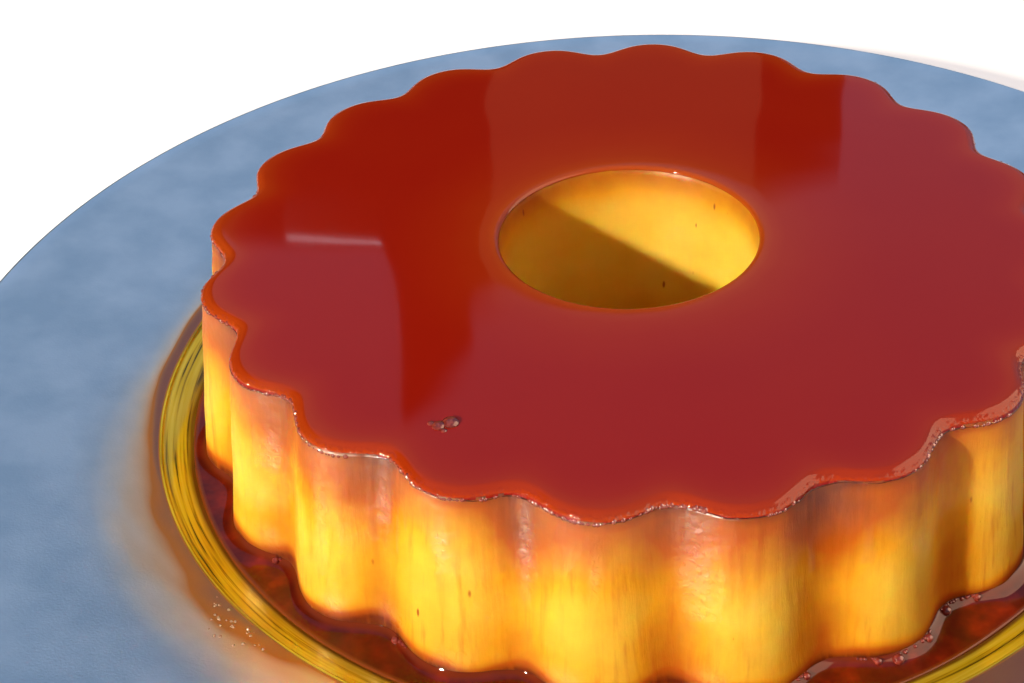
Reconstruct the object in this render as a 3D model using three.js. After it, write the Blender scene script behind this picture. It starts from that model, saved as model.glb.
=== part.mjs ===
// A creme caramel turned out of a fluted ring mould on to a round steel plate with a shallow well.
// Millimetres, +Z up. The origin is the centre of the plate's flat underside.
// Nodes: plate, custard, the set caramel layer on top, and the loose caramel round it and in its hole.
import * as THREE from "three";

// Plate: one pressed sheet with a flat floor, a curved well wall, a sloping rim and a rolled edge.
const SHEET = 1.5; // thickness, so the floor's upper face is at this height
const FLOOR_R = 110.5; // where the flat floor ends
const FILLET_R = 3; // hollow curve from the floor into the wall
const WALL_SLOPE = THREE.MathUtils.degToRad(60); // steepest part of the wall
const SHOULDER_R = 9.5; // round curve from the wall over to the rim
const RIM_SLOPE = THREE.MathUtils.degToRad(8.3);
const PLATE_R = 179.5;
const ROLL_R = 1.3; // the edge is rolled into a bead
const ROLL_ARC = 2.45; // half of the arc that the bead shows, in radians

// Flan: a ring with twenty rounded flutes, wider at its base as the mould's draft leaves it.
const FLAN_X = -3; // it stands a little off the middle of the plate
const FLUTES = 20;
const FLUTE_AT = THREE.MathUtils.degToRad(13.6); // the direction of one flute's crest
const FLUTE_WAVE = 2.8; // half the difference between crest and notch at the top
const FLUTE_BROAD = 0.11; // share of a second wave that makes crests broad and notches narrow
const FLUTE_FADE = 0.0024; // the flutes get shallower by this share for each mm down
const FLAN_R = 99.8; // mean radius at the top edge
const DRAFT = 0.132; // the side leans out by this much for each mm down
const EDGE_Z = 50.2; // height of the top edge
const HOLE_R = 31.2; // hole's radius at the top
const HOLE_DRAFT = 0.08; // the hole narrows by this much for each mm down
const FOOT_ROUND = { width: 2.2, height: 2.9 }; // the base edge, rounded in under the caramel

// The soft side is a little out of round: waves a turn, size, and direction of a crest in radians.
const UNEVEN = [
  { waves: 1, size: 0.3, at: 0.29 },
  { waves: 2, size: 0.6, at: -0.79 },
  { waves: 3, size: 0.55, at: 1.1 },
  { waves: 7, size: 0.25, at: 0.4 },
];

// Caramel layer: a thin set sheet whose upper face rounds over at the outside and into the hole.
const CARAMEL_RISE = 1.3; // the flat top stands this far above the edge line
const OUTER_ROUND = { width: 8, height: 2.1 };
const HOLE_ROUND = { width: 2.2, height: 1.4 };
const CARAMEL_SIDE = 0.8; // upright part of the layer's outer face

// Loose caramel in the well, drawn up where it wets the flan and the wall.
const SAUCE_Z = 4.7;
const FLAN_MENISCUS = 1.6;
const WALL_MENISCUS = 0.35;
const MENISCUS_REACH = 1.3; // distance over which the rise falls to about a third

const GAP = 0.3; // left between pieces that touch
const STEPS = 160; // steps round the fluted pieces
const PLATE_STEPS = 72; // steps round the plate

const TOP_Z = EDGE_Z + CARAMEL_RISE;
const CARAMEL_BASE = TOP_Z - OUTER_ROUND.height - CARAMEL_SIDE;
const BASE_Z = SHEET + GAP; // what stands on the plate's floor starts here
const CONTACT_Z = SAUCE_Z + FLAN_MENISCUS; // where the loose caramel's surface meets the flan
const SHOULDER_SPAN = FILLET_R + SHOULDER_R;
const SHOULDER_AT = [
  FLOOR_R + SHOULDER_SPAN * Math.sin(WALL_SLOPE),
  SHEET + FILLET_R - SHOULDER_SPAN * Math.cos(WALL_SLOPE),
];

// Radius of the flan's side at an angle and a height.
function flanRadius(angle, z) {
  const depth = EDGE_Z - z;
  const turn = FLUTES * (angle - FLUTE_AT);
  const wave = Math.cos(turn) - FLUTE_BROAD * Math.cos(2 * turn);
  const uneven = UNEVEN.reduce((sum, w) => sum + w.size * Math.cos(w.waves * (angle - w.at)), 0);
  return FLAN_R + DRAFT * depth + FLUTE_WAVE * (1 - FLUTE_FADE * depth) * wave + uneven;
}

function holeRadius(z) {
  return HOLE_R - HOLE_DRAFT * (TOP_Z - z);
}

// A point at an angle, radius and height about an upright axis at x.
function about(x, angle, r, z) {
  return new THREE.Vector3(x + r * Math.cos(angle), r * Math.sin(angle), z);
}

// Points of an arc as [across, up], from one direction to another about a centre.
function arc([across, up], radius, from, to, count) {
  return Array.from({ length: count + 1 }, (_, i) => {
    const a = from + ((to - from) * i) / count;
    return [across + radius * Math.cos(a), up + radius * Math.sin(a)];
  });
}

// The plate's wall as [r, z] from the floor up to where its slope has eased to endSlope,
// moved by lift along the sheet's upward normal.
function wallProfile(lift, filletCount, shoulderCount, endSlope) {
  const down = -Math.PI / 2;
  const up = Math.PI / 2;
  const fillet = arc([FLOOR_R, SHEET + FILLET_R], FILLET_R - lift, down, down + WALL_SLOPE, filletCount);
  const shoulder = arc(SHOULDER_AT, SHOULDER_R + lift, up + WALL_SLOPE, up + endSlope, shoulderCount);
  return [...fillet, ...shoulder.slice(1)];
}

// A body of revolution from a profile that runs from the axis back to the axis.
function turned(profile, steps) {
  const points = profile.map(([r, z]) => new THREE.Vector2(r, z));
  return new THREE.LatheGeometry(points, steps).rotateX(Math.PI / 2);
}

// A closed ring whose cross-section may change with the angle. Each section is a closed loop of
// points, anticlockwise with the axis on its left, and all have the same number of points.
function ring(sectionAt) {
  const sections = Array.from({ length: STEPS }, (_, i) => sectionAt((2 * Math.PI * i) / STEPS));
  const count = sections[0].length;
  const index = [];
  for (let i = 0; i < STEPS; i++) {
    const here = i * count;
    const next = ((i + 1) % STEPS) * count;
    for (let j = 0; j < count; j++) {
      const k = (j + 1) % count;
      index.push(here + j, next + j, next + k, here + j, next + k, here + k);
    }
  }
  const geometry = new THREE.BufferGeometry().setFromPoints(sections.flat()).setIndex(index);
  geometry.computeVertexNormals();
  return geometry;
}

function plateGeometry() {
  const upper = wallProfile(0, 3, 5, RIM_SLOPE);
  const lower = wallProfile(-SHEET, 2, 3, RIM_SLOPE);
  const [r, z] = upper[upper.length - 1];
  const rollR = PLATE_R - ROLL_R;
  const rollZ = z + (rollR - r) * Math.tan(RIM_SLOPE) - SHEET / 2;
  const roll = arc([rollR, rollZ], ROLL_R, RIM_SLOPE - ROLL_ARC, RIM_SLOPE + ROLL_ARC, 6);
  return turned([[0, 0], ...lower, ...roll, ...upper.reverse(), [0, SHEET]], PLATE_STEPS);
}

// The flan's rounded foot from its base up to the straight side, moved outwards by grow.
function footPoints(angle, grow) {
  return arc([0, 0], 1, -Math.PI / 2, 0, 2).map(([across, up]) => {
    const z = BASE_Z + FOOT_ROUND.height * (1 + up);
    return about(0, angle, flanRadius(angle, z) - FOOT_ROUND.width * (1 - across) + grow, z);
  });
}

function custardGeometry() {
  const top = CARAMEL_BASE - GAP;
  return ring((angle) => [
    ...footPoints(angle, 0),
    about(0, angle, flanRadius(angle, top), top),
    about(0, angle, holeRadius(top), top),
    about(0, angle, holeRadius(BASE_Z), BASE_Z),
  ]);
}

// The layer's upper face rounds down at both edges in quarter ellipses.
function caramelTopGeometry() {
  const sideZ = TOP_Z - OUTER_ROUND.height;
  const lipZ = TOP_Z - HOLE_ROUND.height;
  const mouthR = holeRadius(lipZ) + HOLE_ROUND.width;
  const outer = arc([0, 0], 1, 0, Math.PI / 2, 4);
  const inner = arc([0, 0], 1, Math.PI / 2, Math.PI, 2);
  return ring((angle) => {
    const flatR = flanRadius(angle, sideZ) - OUTER_ROUND.width;
    return [
      [holeRadius(CARAMEL_BASE), CARAMEL_BASE],
      [flanRadius(angle, CARAMEL_BASE), CARAMEL_BASE],
      ...outer.map(([x, y]) => [flatR + OUTER_ROUND.width * x, sideZ + OUTER_ROUND.height * y]),
      ...inner.map(([x, y]) => [mouthR + HOLE_ROUND.width * x, lipZ + HOLE_ROUND.height * y]),
    ].map(([r, z]) => about(0, angle, r, z));
  });
}

// How far loose caramel is drawn up at a distance from a face that it wets.
function drawnUp(rise, distance) {
  return rise * Math.exp(-distance / MENISCUS_REACH);
}

// Loose caramel between the flan, which stands off centre, and the well's wall.
function sauceGeometry() {
  const edgeZ = SAUCE_Z + WALL_MENISCUS;
  const edgeSlope = Math.acos((edgeZ - SHOULDER_AT[1]) / (SHOULDER_R + GAP));
  const wall = wallProfile(GAP, 3, 2, edgeSlope);
  return ring((angle) => {
    const contact = about(FLAN_X, angle, flanRadius(angle, CONTACT_Z) + GAP, CONTACT_Z);
    const wallPoints = wall.map(([r, z]) => about(0, angle, r, z));
    const edge = wallPoints[wallPoints.length - 1];
    const width = Math.hypot(edge.x - contact.x, edge.y - contact.y);
    const surface = [0.6, 0.25, 0.1].map((share) => {
      const rise = drawnUp(FLAN_MENISCUS, share * width) + drawnUp(WALL_MENISCUS, (1 - share) * width);
      return contact.clone().lerp(edge, share).setZ(SAUCE_Z + rise);
    });
    const [base, ...foot] = footPoints(angle, GAP).map((p) => p.setX(p.x + FLAN_X));
    return [base, ...wallPoints, ...surface, contact, ...foot.reverse()];
  });
}

function holeSauceGeometry() {
  const contactR = holeRadius(CONTACT_Z) - GAP;
  const surface = [0.5, 1.5, 4].map((d) => [contactR - d, SAUCE_Z + drawnUp(FLAN_MENISCUS, d)]);
  const foot = [holeRadius(BASE_Z) - GAP, BASE_Z];
  return turned([[0, BASE_Z], foot, [contactR, CONTACT_Z], ...surface, [0, SAUCE_Z]], PLATE_STEPS / 2);
}

function piece(name, geometry, look) {
  const mesh = new THREE.Mesh(geometry, new THREE.MeshStandardMaterial(look));
  mesh.name = name;
  return mesh;
}

const steel = { color: 0x9aaab8, roughness: 0.32, metalness: 1 };
const custard = { color: 0xf4b62c, roughness: 0.3, metalness: 0 };
const caramel = { color: 0x8c1f14, roughness: 0.06, metalness: 0 };
const sauce = { color: 0x3d120b, roughness: 0.05, metalness: 0 };

const flan = new THREE.Group();
flan.position.x = FLAN_X;
flan.add(piece("flan_custard", custardGeometry(), custard));
flan.add(piece("caramel_top", caramelTopGeometry(), caramel));
flan.add(piece("caramel_sauce_in_hole", holeSauceGeometry(), sauce));

const flanOnPlate = new THREE.Group();
flanOnPlate.add(piece("plate", plateGeometry(), steel));
flanOnPlate.add(piece("caramel_sauce", sauceGeometry(), sauce));
flanOnPlate.add(flan);

export default flanOnPlate;
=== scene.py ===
# A creme caramel turned out of a fluted ring mould on to a round steel plate.
# Lengths are metres, written as millimetres times MM. x points right, y away from the front and
# z up, and directions round the dish count from x towards y. The pieces follow in the order in
# which the dish is put together.
import math

import bpy
import numpy as np
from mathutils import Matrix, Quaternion, Vector


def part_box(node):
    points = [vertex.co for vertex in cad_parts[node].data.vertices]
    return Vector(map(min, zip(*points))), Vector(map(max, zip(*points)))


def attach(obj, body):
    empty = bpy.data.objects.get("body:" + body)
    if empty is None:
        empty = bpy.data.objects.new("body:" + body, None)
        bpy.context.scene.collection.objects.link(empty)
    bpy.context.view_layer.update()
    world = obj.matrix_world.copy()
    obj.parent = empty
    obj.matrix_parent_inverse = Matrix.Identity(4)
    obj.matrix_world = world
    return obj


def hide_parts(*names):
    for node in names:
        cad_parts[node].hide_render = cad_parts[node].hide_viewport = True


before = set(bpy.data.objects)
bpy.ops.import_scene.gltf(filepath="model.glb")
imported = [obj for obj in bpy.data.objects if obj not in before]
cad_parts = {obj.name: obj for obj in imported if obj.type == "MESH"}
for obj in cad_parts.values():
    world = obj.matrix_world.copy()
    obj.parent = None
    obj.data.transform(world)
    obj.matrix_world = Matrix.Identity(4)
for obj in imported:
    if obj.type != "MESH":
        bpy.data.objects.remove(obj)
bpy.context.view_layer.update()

# ---------------------------------------------------------------------------------------------
# The plate. One sheet of stainless steel, pressed in a die: a flat floor, a curved well wall, a
# broad sloping rim and an edge rolled into a bead. The rim is satin, and the shoulder where the
# wall turns over is burnished by the die and ends in a fine crease.

MM = 0.001
SHEET = 1.5 * MM  # thickness
FLOOR_R = 110.5 * MM  # where the underside's floor ends
FILLET_R = 3 * MM  # hollow curve from the floor into the wall
WALL_SLOPE = math.radians(60)  # steepest part of the wall
SHOULDER_R = 9.5 * MM  # the underside's curve from the wall to the rim, measured on top
RIM_SLOPE = math.radians(8.3)
PLATE_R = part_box("plate")[1].x
ROLL_R = 1 * MM  # the bead along the edge
ROLL_ARC = 2.2  # half of the bead's arc, in radians
ROLL_DROP = 0.8  # how far the bead's centre lies below the rim's upper side, in its radii
WELL_R = 109.3 * MM  # where the floor ends on top
WELL_ROUND = 3.5 * MM  # tight curve at the wall's top
BAND_LOW, BAND_HIGH = math.radians(29), math.radians(15.5)  # the band's slopes at its two edges
CREASE_R = 121.5 * MM
CREASE_ROUND, CREASE_SUNK = 0.42 * MM, 0.26 * MM  # its radius, and its centre below the rim
CREASE_ARC = math.radians(35), math.radians(175)
PLATE_COLUMNS = 432
POOLS = [(170, 24, 2.3), (308, 16, 8.0)]  # direction and spread in degrees, extra width in mm
# Where the painted glow of the flan's lit side on the rim is strongest, and how far it spreads.
GLOW_AT, GLOW_SPREAD = 214, 34  # degrees
SHOULDER_SPAN = FILLET_R + SHOULDER_R
SHOULDER_CENTRE = (
    FLOOR_R + SHOULDER_SPAN * math.sin(WALL_SLOPE),
    SHEET + FILLET_R - SHOULDER_SPAN * math.cos(WALL_SLOPE),
)


def srgb(colour):
    """A hex colour such as "#ff8800" as linear red, green, blue and an alpha of 1.

    Each channel c is c / 12.92 up to 0.04045, and ((c + 0.055) / 1.055) ** 2.4 above it."""
    channels = [int(colour[i : i + 2], 16) / 255 for i in (1, 3, 5)]
    return [c / 12.92 if c <= 0.04045 else ((c + 0.055) / 1.055) ** 2.4 for c in channels] + [1.0]


def per_mm(size):
    """The texture scale at which a pattern repeats about every size mm."""
    return 1 / (size * MM)


def add_node(tree, kind, inputs=None, stops=None, **settings):
    """Adds one node. Settings are its own properties, inputs are values or sockets to link, by name
    or number, and stops are a colour ramp's positions with their hex colours."""
    made = tree.nodes.new("ShaderNode" + kind)
    for name, value in settings.items():
        setattr(made, name, value)
    for name, value in (inputs or {}).items():
        if isinstance(value, bpy.types.NodeSocket):
            tree.links.new(value, made.inputs[name])
        else:
            made.inputs[name].default_value = value
    if stops:
        points = made.color_ramp.elements
        while len(points) < len(stops):
            points.new(0.5)
        for point, (position, colour) in zip(points, stops):
            point.position = position
            point.color = srgb(colour)
    return made


def new_material(name):
    """An empty node material and its tree."""
    material = bpy.data.materials.new(name)
    material.use_nodes = True
    material.node_tree.nodes.clear()
    return material, material.node_tree


def make_piece(name, points, quads, triangles, material, **values):
    """A smooth mesh piece from arrays of points, in metres, and of quads and triangles as numbers
    of points. Each further value is an array with one number for each point, kept as an attribute
    for the material."""
    quads = np.asarray(quads, np.int32).reshape(-1, 4)
    triangles = np.asarray(triangles, np.int32).reshape(-1, 3)
    mesh = bpy.data.meshes.new(name)
    mesh.vertices.add(len(points))
    mesh.vertices.foreach_set("co", np.asarray(points, np.float32).ravel())
    corners = np.concatenate([quads.ravel(), triangles.ravel()])
    mesh.loops.add(len(corners))
    mesh.loops.foreach_set("vertex_index", corners)
    starts = [np.arange(len(quads)) * 4, quads.size + np.arange(len(triangles)) * 3]
    mesh.polygons.add(len(quads) + len(triangles))
    mesh.polygons.foreach_set("loop_start", np.concatenate(starts).astype(np.int32))
    mesh.update(calc_edges=True)
    mesh.shade_smooth()
    for value_name, numbers in values.items():
        kept = mesh.attributes.new(value_name, "FLOAT", "POINT")
        kept.data.foreach_set("value", np.asarray(numbers, np.float32).ravel())
    mesh.materials.append(material)
    piece = bpy.data.objects.new(name, mesh)
    bpy.context.scene.collection.objects.link(piece)
    return piece


def ring_quads(rows, columns, closed):
    """Quads between the points of a grid, counted row by row. Its columns close on themselves,
    and so do its rows where closed. With each section running anticlockwise, seen with the axis
    on its left, the quads face outwards."""
    strips = rows if closed else rows - 1
    row, column = np.meshgrid(np.arange(strips), np.arange(columns), indexing="ij")
    row_after = (row + 1) % rows
    column_after = (column + 1) % columns
    here, beside = row * columns + column, row * columns + column_after
    above, across = row_after * columns + column, row_after * columns + column_after
    return np.stack([here, beside, across, above], -1).reshape(-1, 4)


def turned(section, columns, centre_x=0.0):
    """Points, quads and triangles of a body turned about an upright axis. Its section runs from
    the axis out and back to the axis; its two ends become one point each, the poles."""
    section = np.asarray(section)
    turn = 2 * np.pi * np.arange(columns) / columns
    radius, height = section[1:-1, :1], section[1:-1, 1:]
    grid = np.stack(
        [centre_x + radius * np.cos(turn), radius * np.sin(turn), height + 0 * turn], -1
    ).reshape(-1, 3)
    low_pole, high_pole = len(grid), len(grid) + 1
    points = np.vstack([grid, [centre_x, 0, section[0, 1]], [centre_x, 0, section[-1, 1]]])
    first = np.arange(columns)
    after = (first + 1) % columns
    last = first + low_pole - columns
    last_after = after + low_pole - columns
    low = np.stack([np.full(columns, low_pole), after, first], -1)
    high = np.stack([last, last_after, np.full(columns, high_pole)], -1)
    return points, ring_quads(len(section) - 2, columns, False), np.vstack([low, high])


def arc(centre, radius, start, end, count):
    """Points of an arc as (across, up), from one direction to another about a centre."""
    turn = np.linspace(start, end, count + 1)
    return np.stack([centre[0] + radius * np.cos(turn), centre[1] + radius * np.sin(turn)], -1)


def rim_height(radius):
    """The rim's upper side: the straight slope that carries on from the shoulder."""
    end = arc(SHOULDER_CENTRE, SHOULDER_R, math.pi / 2 + RIM_SLOPE, 0, 1)[0]
    return end[1] + (radius - end[0]) * math.tan(RIM_SLOPE)


def wall_section(lift):
    """The well wall's upper side, moved by lift along its normal: a hollow arc up from the floor,
    a round arc over to the band, and the band, a flat arc that eases up to the crease."""
    down, up = -math.pi / 2, math.pi / 2
    foot = (WELL_R, SHEET + FILLET_R)
    fillet = arc(foot, FILLET_R - lift, down, down + WALL_SLOPE, 12)
    turn_r = WELL_R + (FILLET_R + WELL_ROUND) * math.sin(WALL_SLOPE)
    turn_z = SHEET + FILLET_R - (FILLET_R + WELL_ROUND) * math.cos(WALL_SLOPE)
    over = arc((turn_r, turn_z), WELL_ROUND + lift, up + WALL_SLOPE, up + BAND_LOW, 10)
    start_r = turn_r - WELL_ROUND * math.sin(BAND_LOW)
    flat = (CREASE_R - start_r) / (math.sin(BAND_LOW) - math.sin(BAND_HIGH))
    deeper = flat - WELL_ROUND
    centre = (turn_r + deeper * math.sin(BAND_LOW), turn_z - deeper * math.cos(BAND_LOW))
    band = arc(centre, flat + lift, up + BAND_LOW, up + BAND_HIGH, 24)
    return np.vstack([fillet, over[1:], band[1:]])


def under_section():
    """The underside's wall: the same two bends, a sheet's thickness further out."""
    down, up = -math.pi / 2, math.pi / 2
    foot = (FLOOR_R, SHEET + FILLET_R)
    fillet = arc(foot, FILLET_R + SHEET, down, down + WALL_SLOPE, 10)
    shoulder = arc(SHOULDER_CENTRE, SHOULDER_R - SHEET, up + WALL_SLOPE, up + RIM_SLOPE, 20)
    return np.vstack([fillet, shoulder[1:]])


def plate_section():
    """The sheet's section: its underside, the rolled bead and its upper side. The band meets the
    rim in a fine raised crease. Also returns the number of the first row of the upper side."""
    under = under_section()
    wall = wall_section(0)
    bead_r = PLATE_R - ROLL_R
    bead_at = (bead_r, rim_height(bead_r) - ROLL_R * ROLL_DROP)
    bead = arc(bead_at, ROLL_R, -ROLL_ARC, ROLL_ARC - 0.2, 22)
    crease = arc((CREASE_R, rim_height(CREASE_R) - CREASE_SUNK), CREASE_ROUND, *CREASE_ARC, 12)
    share = np.linspace(1, 0, 44)[1:, None] ** 1.6
    rim_r = crease[0, 0] + share * (bead[-1, 0] - crease[0, 0])
    rim = np.hstack([rim_r, rim_height(rim_r)])[:-1]
    wall = wall[wall[:, 0] < crease[-1, 0] - 0.05 * MM]
    under_share = np.linspace(0, 1, 10)[1:-1, None]
    under_rim = under[-1] + under_share * (bead[0] - under[-1])
    floor_r = np.linspace(WELL_R, 0, 8)[1:-1]
    floor = np.stack([floor_r, np.full(6, SHEET)], -1)
    first_upper = len(under) + len(under_rim) + len(bead)
    rows = [[[0, 0]], under, under_rim, bead, rim, crease, wall[::-1], floor, [[0, SHEET]]]
    return np.vstack(rows), first_upper


def patches(seed, turn, rise, cells_round, cells_up):
    """Smooth random numbers from 0 to 1: drawn at the corners of cells round the turn, which close
    on themselves, and up the rise, both from 0 to 1, and blended between them by 3t^2 - 2t^3."""
    knots = np.random.default_rng(seed).uniform(0, 1, (cells_up + 2, cells_round))
    across, up = np.asarray(turn) % 1 * cells_round, np.clip(rise, 0, 1) * cells_up
    column, row = np.floor(across).astype(int), np.floor(up).astype(int)
    s, t = across - column, up - row
    s, t = s * s * (3 - 2 * s), t * t * (3 - 2 * t)
    column, beside = column % cells_round, (column + 1) % cells_round
    low = knots[row, column] * (1 - s) + knots[row, beside] * s
    high = knots[row + 1, column] * (1 - s) + knots[row + 1, beside] * s
    return low * (1 - t) + high * t


def step(low, high, value):
    """0 below low, 1 above high, and 3t^2 - 2t^3 between them."""
    t = np.clip((value - low) / (high - low), 0, 1)
    return t * t * (3 - 2 * t)


def around(turn, centre):
    """The shortest way round from a centre, in shares of a turn, from -0.5 to 0.5."""
    return (turn - centre + 0.5) % 1 - 0.5


def spilled(points, first_upper):
    """How much syrup lies on the plate at each point, from 0 to 1: pools just outside the crease,
    and smears that thin out over the rim. Towards one side the smears are heavier and reach
    further, as a painted glow of the flan's lit side on the rim. The band is thinly wet, more so
    low down. Widths and reaches are in mm outwards from the crease."""
    radius, angle = np.hypot(points[:, 0], points[:, 1]), np.arctan2(points[:, 1], points[:, 0])
    turn, out = angle / (2 * np.pi), (radius - CREASE_R) / MM
    width = 0.7 + 0.8 * patches(61, turn, 0, 50, 1)
    for degrees, spread, extra in POOLS:
        width = width + extra * np.exp(-(around(turn, degrees / 360) * 360 / spread) ** 2)
    pool = 1 - step(-1.3, 1.5, out - width)
    # Partly painted glow: the smears grow towards one side, standing in for the flan's lit side
    # reflected in the satin rim.
    near = np.exp(-(around(turn, GLOW_AT / 360) * 360 / GLOW_SPREAD) ** 2)
    reach = 2.4 + 2 * patches(62, turn, 0, 23, 1) + near * (4 + 8 * patches(64, turn, 0, 19, 1))
    ripple = patches(63, turn + out / 900, out / 40, 70, 13)
    fading = np.exp(-np.maximum(out - width, 0) / reach)
    smear_and_glow = (0.26 + 0.5 * near) * fading * (0.85 + 0.3 * ripple)
    outside = np.maximum(pool, smear_and_glow * (1 - step(14, 28, out)))
    band = 0.55 + 0.4 * (1 - step(-7.8, -5.0, out)) + 0.08 * patches(65, turn, 0, 60, 1)
    amount = np.where(out > 0.5, outside, band)
    amount[: first_upper * PLATE_COLUMNS] = 0
    return amount


def plate_steel():
    """Pressed stainless steel, whose cool tint is partly painted sky reflection. The rim's fine
    matt grain gives broad soft reflections; the burnished band mirrors what is near, through fine
    turned lines and a golden film, whose colour is partly a painted reflection of the custard's
    yellow side.
    Where syrup has dried on the rim, the metal's gloss gives way to a brown film; towards one side
    it is partly a painted glow of the flan's lit side."""
    material, tree = new_material("pressed_stainless_steel")
    place = add_node(tree, "TexCoord").outputs["Object"]
    clouds = add_node(tree, "TexNoise", {"Vector": place, "Scale": per_mm(17), "Detail": 5.0})
    # Partly painted reflection: the steel's cool tint stands in for the sky that it mirrors.
    steel = add_node(
        tree, "ValToRGB", {"Fac": clouds.outputs["Fac"]},
        stops=[(0.35, "#d1e0e3"), (0.65, "#eaf3f2")],
    )
    syrup = add_node(tree, "Attribute", attribute_name="syrup").outputs["Fac"]
    # Partly painted glow: the film's pale tan where the smears are thin stands in for light from
    # the flan's lit side.
    film = add_node(
        tree, "ValToRGB", {"Fac": syrup},
        stops=[(0.0, "#f0d8b8"), (0.3, "#cfa060"), (0.55, "#a86a2a"), (0.8, "#7c5840"),
               (1.0, "#684640")],
    )
    cover = add_node(
        tree, "MapRange", {"Value": syrup, "From Min": 0.02, "From Max": 0.55}
    ).outputs["Result"]
    flat = add_node(tree, "VectorMath", {0: place, 1: (1, 1, 0)}, operation="MULTIPLY")
    radius = add_node(tree, "VectorMath", {0: flat.outputs[0]}, operation="LENGTH").outputs["Value"]
    matt = add_node(
        tree, "MapRange",
        {"Value": radius, "From Min": CREASE_R, "From Max": CREASE_R + 0.5 * MM},
        interpolation_type="SMOOTHSTEP",
    ).outputs["Result"]
    metal = add_node(
        tree, "MapRange",
        {"Value": syrup, "From Min": 0.1, "From Max": 0.85, "To Min": 1.0, "To Max": 0.0},
    )
    way = add_node(tree, "VectorMath", {0: flat.outputs[0]}, operation="NORMALIZE")
    rings = add_node(tree, "Math", {0: radius, 1: per_mm(0.95)}, operation="MULTIPLY")
    upward = add_node(tree, "CombineXYZ", {"Z": rings.outputs[0]})
    wound = add_node(
        tree, "VectorMath", {0: way.outputs[0], 1: (3.2, 3.2, 0), 2: upward.outputs[0]},
        operation="MULTIPLY_ADD",
    )
    lines = add_node(tree, "TexNoise", {"Vector": wound.outputs[0], "Scale": 1.0, "Detail": 5.0})
    # Partly painted reflection: the band's golden colour stands in for the custard's yellow side
    # mirrored in it.
    gold_and_reflection = add_node(
        tree, "ValToRGB", {"Fac": lines.outputs["Fac"]},
        stops=[(0.35, "#44420e"), (0.42, "#b09616"), (0.5, "#ccb41a"), (0.68, "#dac63a")],
    )
    low = add_node(tree, "MapRange", {"Value": syrup, "From Min": 0.66, "From Max": 0.92})
    band_colour = add_node(
        tree, "Mix", {0: low.outputs["Result"], 6: gold_and_reflection.outputs["Color"], 7: srgb("#6c480a")},
        data_type="RGBA",
    )
    film_colour = add_node(
        tree, "Mix", {0: matt, 6: band_colour.outputs[2], 7: film.outputs["Color"]},
        data_type="RGBA",
    )
    colour = add_node(
        tree, "Mix", {0: cover, 6: steel.outputs["Color"], 7: film_colour.outputs[2]},
        data_type="RGBA",
    )
    grain = add_node(tree, "TexNoise", {"Vector": place, "Scale": per_mm(0.6), "Detail": 2.0})
    roughness = add_node(tree, "MapRange", {"Value": matt, "To Min": 0.13, "To Max": 0.28})
    height = add_node(
        tree, "Mix", {0: matt, 2: lines.outputs["Fac"], 3: grain.outputs["Fac"]}, data_type="FLOAT"
    )
    bump = add_node(
        tree, "Bump", {"Height": height.outputs[0], "Strength": 0.6, "Distance": 0.06 * MM}
    )
    shader = add_node(
        tree, "BsdfPrincipled",
        {"Base Color": colour.outputs[2], "Metallic": metal.outputs["Result"],
         "Roughness": roughness.outputs["Result"], "Normal": bump.outputs["Normal"]},
    )
    add_node(tree, "OutputMaterial", {"Surface": shader.outputs["BSDF"]})
    return material


section, first_upper = plate_section()
points, quads, triangles = turned(section, PLATE_COLUMNS)
# The syrup amounts also carry the painted glow on the rim.
syrup_and_glow_on_plate = spilled(points, first_upper)
plate = make_piece("steel_plate", points, quads, triangles, plate_steel(), syrup=syrup_and_glow_on_plate)
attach(plate, "root")
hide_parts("plate")

# ---------------------------------------------------------------------------------------------
# The custard. Egg yolks, milk and sugar, baked in a fluted ring mould and turned out. It is set
# but soft: its skin keeps the flutes with fine upright streaks and pits, light sinks into it, and
# thin caramel has run down it and stained it.

FLAN_X = -3 * MM  # the flan stands a little off the plate's middle
FLUTES = 20
FLUTE_AT = math.radians(13.6)  # direction of one flute's crest
FLUTE_WAVE = 2.8 * MM  # half the difference between crest and notch at the top
FLUTE_BROAD = 0.11  # share of a second wave that makes crests broad and notches narrow
FLUTE_FADE = 0.0024 / MM  # the flutes get shallower by this share of their depth, going down
FLAN_R = 99.8 * MM  # mean radius at the top edge
DRAFT = 0.132  # how much the side leans out, going down
EDGE_Z = 50.2 * MM
TOP_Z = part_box("caramel_top")[1].z
CARAMEL_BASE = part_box("caramel_top")[0].z
BASE_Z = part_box("flan_custard")[0].z
HOLE_R = 31.2 * MM
HOLE_DRAFT = 0.08
FOOT_WIDTH, FOOT_HEIGHT = 2.2 * MM, 2.9 * MM
# Waves in a turn, their size, and the direction of a crest in radians.
UNEVEN = [(1, 0.3 * MM, 0.29), (2, 0.6 * MM, -0.79), (3, 0.55 * MM, 1.1), (7, 0.25 * MM, 0.4)]
FLAN_COLUMNS = 1120
TURN = np.arange(FLAN_COLUMNS) / FLAN_COLUMNS
ANGLE = 2 * np.pi * TURN


def flan_radius(angle, z):
    """The flan's side: a mean radius that grows with depth, plus the flutes' wave and its second
    wave, plus a few slow waves a turn."""
    depth = EDGE_Z - z
    phase = FLUTES * (angle - FLUTE_AT)
    wave = np.cos(phase) - FLUTE_BROAD * np.cos(2 * phase)
    slow = sum(size * np.cos(waves * (angle - at)) for waves, size, at in UNEVEN)
    return FLAN_R + DRAFT * depth + FLUTE_WAVE * (1 - FLUTE_FADE * depth) * wave + slow


def hole_radius(z):
    """The hole's wall, which narrows evenly with depth."""
    return HOLE_R - HOLE_DRAFT * (TOP_Z - z)


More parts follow.
